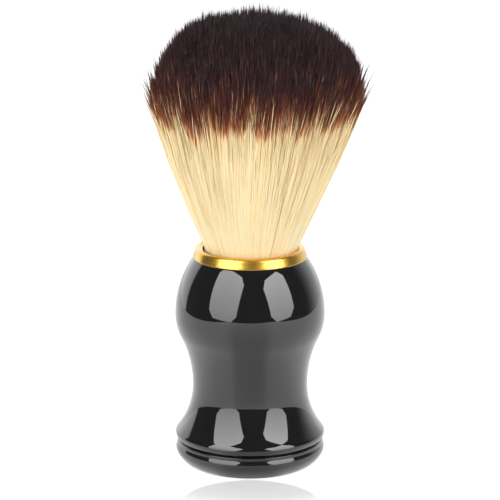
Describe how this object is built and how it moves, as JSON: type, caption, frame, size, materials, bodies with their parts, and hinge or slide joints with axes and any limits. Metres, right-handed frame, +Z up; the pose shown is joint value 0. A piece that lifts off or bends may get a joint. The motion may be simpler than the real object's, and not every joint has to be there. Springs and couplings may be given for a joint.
{
  "type": "shaving brush",
  "caption": "Shaving brush with a weighted waisted handle, a bevelled collar ring and a fan of cream fibres with dark dyed tips that sways and springs back.",
  "frame": {"origin": "centre of the foot on the floor it stands on", "axes": "+Z up the brush's axis of revolution towards the tips, +X and +Y level; the shape is the same all round"},
  "size_m": [0.0494, 0.0494, 0.1072],
  "materials": {
    "black_gloss": "gloss",
    "gold": "polished",
    "steel": "satin",
    "moulded_black": "matte",
    "resin": "satin",
    "glue": "satin",
    "thread": "matte",
    "fibre_cream": "satin",
    "fibre_brown": "satin"
  },
  "bodies": {
    "handle": {"handle_body": "black_gloss", "foot_plug": "black_gloss", "ballast_weight": "steel", "ballast_adhesive": "glue", "collar_ring": "gold", "knot_cup": "moulded_black", "knot_resin": "resin", "binding_thread": "thread", "socket_adhesive": "glue", "fibre_roots": "fibre_cream"},
    "bend_band": {"fibre_bend_band": "fibre_cream"},
    "fan": {"fibre_shafts": "fibre_cream", "fibre_tips": "fibre_brown"}
  },
  "joints": [
    {"name": "sway_sideways", "type": "hinge", "parent": "handle", "child": "bend_band", "pos_m": [0, 0, 0.0521], "axis": [0, 1, 0], "range_deg": [-25, 25], "stiffness_Nm_per_rad": 0.2},
    {"name": "sway_fore_aft", "type": "hinge", "parent": "bend_band", "child": "fan", "pos_m": [0, 0, 0.0521], "axis": [1, 0, 0], "range_deg": [-25, 25], "stiffness_Nm_per_rad": 0.2}
  ]
}
